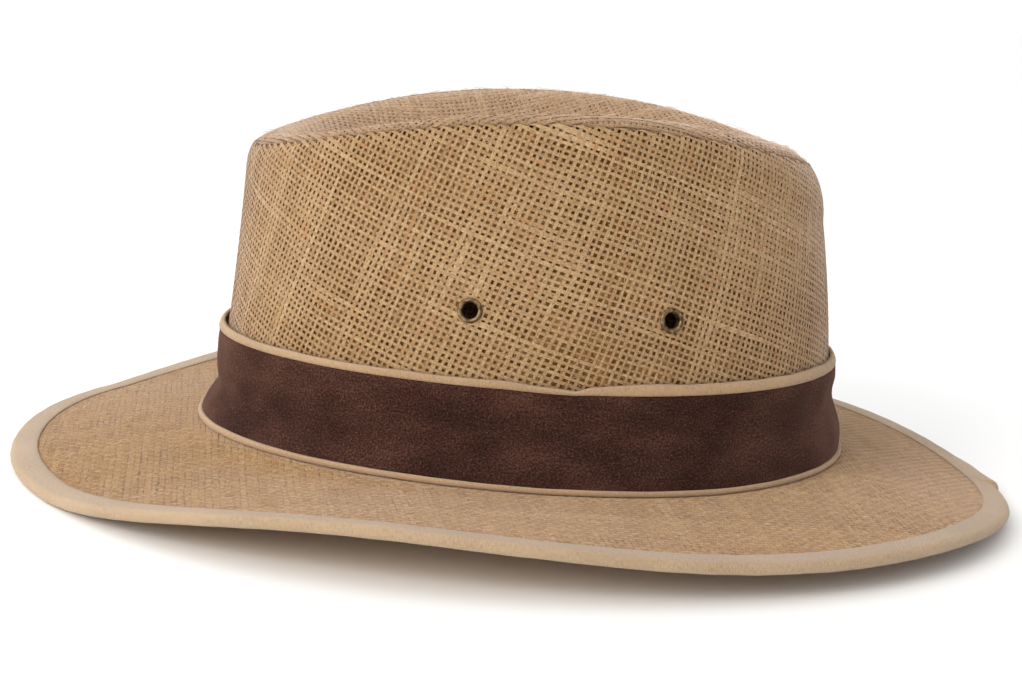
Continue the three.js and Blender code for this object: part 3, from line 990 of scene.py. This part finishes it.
def thicken(piece, wall):
    """Gives a sheet its wall on its inner side, with the inner face in the second finish."""
    solid = piece.modifiers.new("wall", "SOLIDIFY")
    solid.thickness = wall * MM
    solid.offset = -1
    solid.use_even_offset = False
    solid.material_offset = 1


def add_side_shade_ground():
    """The side's ground: a fine grid up the wall and round the shoulder, open at the eyelets. Its
    outer face, seen between the yarns, is painted shade of the hat's dim inside.
    """
    turns = (np.arange(360) / 360)[:, None]
    share = np.linspace(0, 1, 44)[None]
    length = side_limit(turns * SIDE_ROUND)
    points = ground_sheet(
        lambda part, distance: read_table(SIDE_TABLE, part, distance),
        turns + 0 * share, share * (length + GROUND_TUCK), GROUND_SINK)
    piece = add_ring(
        "crown_side_shade_ground", points, [CROWN_SHADE_GROUND, INNER_BURLAP],
        closed_cut=False, keep=lambda middle: off_eyelets(middle, HOLE_CLEAR))
    thicken(piece, CLOTH_WALL - GROUND_SINK)
    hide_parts("crown_side")
    return piece


def add_tip_ground():
    """The tip's ground: rings from a small one round its middle, which a fan closes, to the tuck."""
    turns = (np.arange(260) / 260)[:, None]
    share = np.linspace(0.01, 1, 50)[None]
    length = at_turn(TIP_LENGTH, turns)
    points = ground_sheet(
        lambda part, distance: read_table(TIP_TABLE, part, distance),
        turns + 0 * share, share * (length + GROUND_TUCK), -GROUND_SINK)
    rows, columns = points.shape[:2]
    pole = points[:, 0].mean(axis=0)
    everything = np.concatenate([points.reshape(-1, 3), pole[None]])
    ring = np.arange(rows) * columns
    faces = [
        grid_faces(rows, columns, True)[0][:, ::-1],
        np.stack([np.roll(ring, -1), ring, np.full(rows, rows * columns)], axis=-1),
    ]
    corners = np.concatenate([part.ravel() for part in faces])
    piece = add_piece(
        "crown_tip_ground", everything, faces, [CLOSE_GROUND, INNER_BURLAP],
        everything[corners, :2])
    thicken(piece, CLOTH_WALL - GROUND_SINK)
    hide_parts("crown_tip")
    return piece


def side_kept(u, v):
    """Where the side's yarns lie: from behind the band into the tuck."""
    return (v > YARNS_START) & (v < side_limit(u) + YARN_TUCK)


def tip_kept(u, v):
    """Where the tip's yarns lie: out into the tuck."""
    return np.hypot(u, v) < tip_limit(u, v) + YARN_TUCK


def weave_side():
    """Both sets round the side. The steep set is numbered round the hat, and the shallow set's
    yarns climb round it, so that each meets itself exactly where the flat sheet closes."""
    pieces = []
    top = SIDE_LENGTH.max() + TUCK_DEPTH
    for name, steep, count in (("steep", True, SIDE_STEEP), ("shallow", False, SIDE_SHALLOW)):
        numbers = np.arange(count)
        across = numbers * YARN_PITCH
        low, high = (
            (level - across * (math.sin(SIDE_TILT) if steep else math.cos(SIDE_TILT)))
            / (math.cos(SIDE_TILT) if steep else math.sin(SIDE_TILT))
            for level in (YARNS_START - 3, top + 3)
        )
        starts = np.floor(low / YARN_PITCH).astype(int)
        steps = int((high - low).max() / YARN_PITCH) + 2
        pieces.append(weave(
            f"crown_side_{name}_yarns", side_cloth, side_kept, SIDE_TILT, steep, numbers, starts, steps,
            SIDE_WEAVE, CROWN_YARN, 11 + count))
    return pieces


def weave_flat(prefix, cloth, kept, reach, tilt, yarn, material, seed):
    """Both sets over a cloth whose flat sheet is a square of twice the reach."""
    count = int(reach / YARN_PITCH)
    pieces = []
    for name, steep in (("long", True), ("cross", False)):
        numbers = np.arange(-count, count + 1)
        starts = np.full(len(numbers), -count)
        pieces.append(weave(
            f"{prefix}_{name}_yarns", cloth, kept, tilt, steep, numbers, starts, 2 * count + 1, yarn,
            material, seed + steep))
    return pieces


side_shade_ground = add_side_shade_ground()
tip_ground = add_tip_ground()
side_yarns = weave_side()
tip_yarns = weave_flat("crown_tip", tip_cloth, tip_kept, TIP_LENGTH.max() + 8, math.radians(14),
                       TIP_WEAVE, TIP_YARN_PAINTED_SHEEN, 31)


# ---------------------------------------------------------------- brim and its binding
def add_brim_ground():
    """The brim under its yarns: one closed ring with an upper face, an edge and a lower face."""
    angle = even_turns(360)
    inner, outer = brim_point(angle, 0.0), brim_point(angle, 1.0)
    reach = np.linalg.norm(outer - inner, axis=-1)
    end = 1 - (TAPE_PLY + GAP) / reach
    share = np.linspace(0, 1, 26)[None] * end
    middle = brim_point(angle, share)
    up = unit(np.cross(round_hat(middle), np.gradient(middle, axis=1)))
    up = up * np.sign(up[..., 2:])
    upper = middle + up * (BRIM_THICKNESS / 2 - 0.5)
    lower = middle - up * (BRIM_THICKNESS / 2)
    points = np.concatenate([lower, upper[:, ::-1]], axis=1)
    columns = share.shape[1]
    piece = add_ring(
        "brim_ground", points, [CLOSE_GROUND, INNER_BURLAP],
        face_material=lambda column: (column < columns - 1) * 1)
    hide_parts("brim")
    return piece


def brim_kept(u, v):
    """Where the brim's yarns lie: from under the band's lower trim to under the tape."""
    share, angle = brim_ring(u, v)
    width = np.hypot(*(far - near for far, near in zip(oval(BRIM_EDGE, angle), oval(CROWN_BASE, angle))))
    return (share * width > 0.5) & ((1 - share) * width > TAPE_REACH - 3.2)


def tape_cut():
    """The folded tape's cut as out and up from the wire: under face, round edge, upper face, and
    back round its inner side. Both faces slope in a little, and their ends press on the cloth."""
    bend = np.radians(np.linspace(-90, 90, 13))
    along = np.linspace(0, 1, 6)
    out = blend(-TAPE_REACH + 0.15, -0.8, along)
    up = blend(TAPE_FOLD - 0.7, TAPE_FOLD, np.sqrt(along))
    slot = TAPE_FOLD - TAPE_PLY
    face = [
        *((in_by - TAPE_REACH, up_by + TAPE_PRESS) for in_by, up_by in TAPE_END),
        *zip(out, up),
    ]
    return np.array([
        *((across, -height) for across, height in face),
        *((TAPE_FOLD * math.cos(turn), TAPE_FOLD * math.sin(turn)) for turn in bend),
        *face[::-1],
        (-TAPE_PLY, slot), (-TAPE_PLY, -slot),
    ])


def lap_rise(angle, out):
    """How far the tape's last stretch stands over its first, which it laps: a slope up from the
    first end, a step down at the last end, and most at the round edge, which is cut straight."""
    start = LAP_TURN - LAP_LENGTH
    over = np.clip((angle - start) / (0.4 * LAP_LENGTH), 0, 1)
    step = np.clip((LAP_TURN + LAP_SLANT * out / TAPE_REACH - angle) / LAP_EDGE, 0, 1)
    flare = np.clip((angle - LAP_TURN) / (0.5 * LAP_LENGTH) + 1, 0, 1) ** 2 * np.clip(1 + out / 2, 0, 1)
    return (LAP_RISE * ease(over) + LAP_FLARE * flare) * step


def tape_points(angle, cut, swell):
    """The tape's cut carried round the wire, standing across the edge, and never under the floor.
    swell moves its outside out, by an amount for each angle and place of the cut."""
    wire = brim_point(angle, 1.0)
    outward = unit(wire - brim_point(angle, 0.97))
    sideways = unit(np.stack([-outward[..., 1], outward[..., 0], 0 * outward[..., 0]], axis=-1))
    upward = np.cross(outward, sideways)
    size = np.hypot(cut[:, 0].clip(0), cut[:, 1])
    push = cut / np.maximum(np.linalg.norm(cut, axis=-1, keepdims=True), 1e-9)
    flat = cut[:, 0] < 0
    push[flat] = np.stack([0 * cut[flat, 0], np.sign(cut[flat, 1])], axis=-1)
    grown = cut[None] + push[None] * (swell * (size > TAPE_FOLD * 0.75))[..., None]
    points = wire[:, None] + grown[..., :1] * outward[:, None] + grown[..., 1:] * upward[:, None]
    points[..., 2] = np.maximum(points[..., 2], 0.0)
    return points


def add_binding():
    """The tape round the brim's edge, a little uneven where it was eased round the curve, with
    closer rings at its lapped end. Its tag marks the round edge, where a warmer tint is painted as
    light."""
    rings = TURN * (np.arange(500) / 500 - 0.5)
    angle = np.sort(np.concatenate([rings, LAP_TURN + LAP_SLANT * np.linspace(-1.3, 0.7, 30)]))
    cut = tape_cut()
    swell = ripple(angle[:, None], np.arange(len(cut))[None], 5, (17, 29, 41, 58, 83), 60, 0.07)
    swell = swell + lap_rise(angle[:, None], cut[None, :, 0])
    # Where the warmer painted light falls: 1 on the round edge, fading to 0 within 1.6 mm inward.
    painted_edge_light = np.clip(1 + cut[:, 0] / 1.6, 0, 1) + 0 * angle[:, None]
    piece = add_ring(
        "brim_tape", tape_points(angle, cut, swell), [EDGE_TAPE], tags={"painted_edge_light": painted_edge_light})
    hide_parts("brim_binding")
    return piece


brim_ground = add_brim_ground()
brim_yarns = weave_flat(
    "brim", brim_cloth, brim_kept, 172, math.radians(5), BRIM_WEAVE, BRIM_YARN, 51)
brim_tape = add_binding()


# ---------------------------------------------------------------- band and trims
def band_out(height, angle):
    """How far the suede stands out of the base oval: its table, read straight between rows, and
    blended from front to rear by a cosine."""
    front = np.interp(height, BAND_HEIGHTS, BAND_OUT_FRONT)
    rear = np.interp(height, BAND_HEIGHTS, BAND_OUT_REAR)
    return blend(front, rear, (1 + np.cos(angle)) / 2)


def add_band():
    """The suede band: an uneven outer face, rounded edges and an inner face. Its top and its foot
    follow the trims that cover them. A sliding mean rounds the corners of its outline."""
    rows = 34
    angle = even_turns(420)
    top = trim_edge(angle, "foot") + TRIM_OVERLAP
    foot = trim_edge(angle, "lower") + TRIM_OVERLAP
    height = blend(foot, top, np.linspace(0, 1, rows)[None])
    window = np.hanning(7) / np.hanning(7).sum()
    padded = np.pad(band_out(height, angle), ((0, 0), (3, 3)), mode="edge")
    out = sum(weight * padded[:, i:i + rows] for i, weight in enumerate(window))
    edge = np.minimum(height - foot, top - height)
    out = out + ripple(angle, height, 21, (4, 7, 11, 18, 27, 35), 45, 0.25) * np.clip(edge / 5, 0, 1)
    out = out - 0.5 * np.clip(1 - edge / 0.9, 0, 1) ** 2
    x, y = oval(CROWN_BASE, angle, out)
    outer = place(x, y, height)
    inner_out = np.maximum(out - BAND_WALL, GAP - crown_inset(angle, height))
    x, y = oval(CROWN_BASE, angle, inner_out)
    inner = place(x, y, height)
    points = np.concatenate([outer, inner[:, ::-1]], axis=1)
    piece = add_ring("suede_band", points, [SUEDE])
    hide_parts("hat_band")
    return piece


def add_trim(name, node, angle, foot, top, front_of, depth, seed):
    """A folded strip of cloth from its foot's height to its top's: a half round face, flat behind,
    slightly uneven in thickness. Its rings are at the angles given."""
    angle, foot, top = (np.broadcast_to(part, angle.shape)[:, None] for part in (angle, foot, top))
    bend = np.linspace(-np.pi / 2, np.pi / 2, 9)[None]
    uneven = 1 + ripple(angle, 0.0, seed, (9, 17, 26, 43), 50, 0.05)
    height = foot + (top - foot) * (0.5 + 0.5 * np.sin(bend)) * uneven
    out = front_of(angle, height) - depth * (1 - np.cos(bend))
    back = np.maximum(out[:, [-1, 0]] - 0.9, GAP - crown_inset(angle, height[:, [-1, 0]]))
    heights = np.concatenate([height, height[:, [-1, 0]]], axis=1)
    x, y = oval(CROWN_BASE, angle, np.concatenate([out, back], axis=1))
    piece = add_ring(name, place(x, y, heights), [TRIM_CLOTH])
    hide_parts(node)
    return piece


def add_trims():
    """Both trims of the band. The top one has closer rings at its joint."""
    rings = TURN * np.arange(440) / 440
    near = math.radians(TRIM_JOINT["at"]) + np.radians(np.linspace(-4, 4, 24))
    angle = np.sort(np.concatenate([rings, near]))
    top = add_trim(
        "top_trim", "band_trim_top", angle, trim_edge(angle, "foot"), trim_edge(angle, "top"),
        lambda angle, height: band_out(BAND_TOP, angle) + 0.45 - (height - BAND_TOP) * 0.35, 0.6, 61)
    bottom = add_trim(
        "bottom_trim", "band_trim_bottom", rings, trim_edge(rings, "lower"), trim_edge(rings, "lower_top"),
        lambda angle, height: band_out(0, angle) + 1.15, 0.8, 67)
    return [top, bottom]


suede_band = add_band()
trims = add_trims()


# ---------------------------------------------------------------- loose fibres
def add_fibres(name, cloth, places, reach, rise, half_width, material, seed):
    """Loose fibres on a cloth: from each place a fibre runs a random way, rises and comes down as
    a parabola, and curls aside by a square. It is a three-cornered tube that ends in a point."""
    draw = np.random.default_rng(seed)
    u, v = places(draw)
    count = len(u)

    def one(low, high):
        return draw.uniform(low, high, (count, 1))

    length, curl, way = one(*reach), one(-0.5, 0.5), one(0, TURN)
    share = np.linspace(0, 1, 4)[None]
    ahead = share * length
    aside = curl * share**2 * length
    along_u = u[:, None] + ahead * np.cos(way) - aside * np.sin(way)
    along_v = v[:, None] + ahead * np.sin(way) + aside * np.cos(way)
    line = cloth(along_u, along_v)
    up = unit(np.cross(slope(cloth, u, v, 1, 0), slope(cloth, u, v, 0, 1)))[:, None]
    height = one(*rise) * (4 * share * (1 - 0.75 * share)) - 0.3 * (1 - share)
    line = line + up * height[..., None]
    run = unit(line[:, 1:] - line[:, :-1])
    run = np.concatenate([run, run[:, -1:]], axis=1)
    side = unit(np.cross(run, up))
    over = np.cross(side, run)
    turns = TURN * np.arange(3) / 3
    wide = (half_width * one(0.7, 1.3))[..., None, None]
    ring = np.cos(turns)[:, None] * side[:, :, None] + np.sin(turns)[:, None] * over[:, :, None]
    tube = (line[:, :, None] + ring * wide)[:, :-1]
    points = np.concatenate([tube.reshape(count, -1, 3), line[:, -1:]], axis=1)
    rings = tube.shape[1]
    corner = np.arange(3)
    beside = (corner + 1) % 3
    level = 3 * np.arange(rings - 1)[:, None]
    walls = np.stack([level + corner, level + beside, level + beside + 3, level + corner + 3], axis=-1)
    last = 3 * (rings - 1)
    tips = np.stack([last + corner, last + beside, np.full(3, 3 * rings)], axis=-1)
    caps = corner[None, ::-1]
    first = (np.arange(count) * points.shape[1])[:, None, None]
    faces = [(first + part.reshape(-1, part.shape[-1])[None]).reshape(-1, part.shape[-1])
             for part in (walls, tips, caps)]
    tone = np.repeat(draw.uniform(0, 1, count), points.shape[1])
    return add_piece(name, points, faces, [material], tags={"tone": tone})


def side_places(draw):
    """Places spread over the crown's side above the band."""
    u, v = draw.uniform(0, SIDE_ROUND, 5000), draw.uniform(YARNS_START + 3, SIDE_LENGTH.max(), 5000)
    clear = off_eyelets(side_cloth(u, v), 6.0) & (v < side_limit(u) - 1)
    return u[clear], v[clear]


def tip_places(draw):
    """Places spread over the crown's tip as rings of equal share."""
    way, reach = draw.uniform(0, TURN, 2400), np.sqrt(draw.uniform(0, 1, 2400))
    length = at_turn(TIP_LENGTH, way / TURN)
    return reach * length * np.sin(way), reach * length * np.cos(way)


def brim_places(draw):
    """Places spread over the brim between the lower trim and the tape."""
    angle, share = draw.uniform(0, TURN, 3000), np.sqrt(draw.uniform(0.03, 0.78, 3000))
    points = brim_point(angle, share)
    return points[:, 0], points[:, 1]


def band_cloth(u, v):
    """The band's outer face: u is millimetres round the hat and v up it."""
    angle = u / CROWN_BASE["half_length"]
    x, y = oval(CROWN_BASE, angle, band_out(v, angle))
    return place(x, y, v)


def band_places(draw):
    """Places spread over the band between its trims."""
    return draw.uniform(0, TURN * CROWN_BASE["half_length"], 900), draw.uniform(2, 26.5, 900)


side_fuzz = add_fibres("crown_side_fuzz", side_cloth, side_places, (2.0, 7.0), (0.1, 0.7), 0.06,
                       FIBRE, 71)
tip_fuzz = add_fibres("crown_tip_fuzz", tip_cloth, tip_places, (2.0, 6.0), (0.1, 0.7), 0.055, FIBRE,
                      73)
brim_fuzz = add_fibres("brim_fuzz", brim_cloth, brim_places, (1.5, 5.0), (0.05, 0.5), 0.05, FIBRE,
                       79)
band_fuzz = add_fibres("suede_fuzz", band_cloth, band_places, (0.8, 3.0), (0.1, 0.5), 0.03, SUEDE_FIBRE,
                       83)


# ---------------------------------------------------------------- light and floor
SURROUND_LEVEL = 1.04
SURROUND_SLOPE = 0.45
SURROUND_DARK_WAY = (0.4, 0.92, 0.0)


def add_light(name, place_m, size, power, color):
    """A soft square light that faces the hat."""
    data = bpy.data.lights.new(name, "AREA")
    data.shape = "SQUARE"
    data.size = size
    data.energy = power
    data.color = color
    light = put(name, data)
    light.location = place_m
    light.rotation_mode = "QUATERNION"
    light.rotation_quaternion = (Vector(place_m) - Vector((0, 0, 0.06))).to_track_quat("Z", "Y")


def set_surround():
    """A white surround that grows brighter along a line, away from the hat's rear left."""
    world = bpy.data.worlds.new("surround")
    bpy.context.scene.world = world
    nodes = Nodes(world)
    way = nodes.add("TexCoord", {}).outputs["Generated"]
    toward = nodes.add("VectorMath", {0: way, 1: SURROUND_DARK_WAY}, operation="DOT_PRODUCT")
    level = nodes.math("MULTIPLY_ADD", toward.outputs["Value"], -SURROUND_SLOPE, SURROUND_LEVEL)
    nodes.set(nodes.tree.nodes["Background"], {"Strength": level, "Color": (1.0, 1.0, 1.0, 1)})


def set_studio():
    """A pale floor in the surround, with a warm key from the front."""
    set_surround()
    add_light("key", (1.15, -1.25, 0.9), 0.9, 18, (1.0, 0.95, 0.87))
    mesh = bpy.data.meshes.new("floor")
    reach, under = 30.0, -0.0003
    corners = [(x * reach, y * reach, under) for x, y in ((-1, -1), (1, -1), (1, 1), (-1, 1))]
    mesh.from_pydata(corners, [], [(0, 1, 2, 3)])
    finish = Finish("pale_floor", Roughness=0.8, Specular_IOR_Level=0.1)
    grain = finish.clouds(3.0, 2.0)
    mesh.materials.append(finish.surface(
        Base_Color=finish.ramp(grain, (0.3, (0.95, 0.95, 0.95, 1)), (0.7, (0.97, 0.97, 0.97, 1)))))
    put("floor", mesh)


set_studio()
bpy.context.scene.view_settings.view_transform = "Standard"
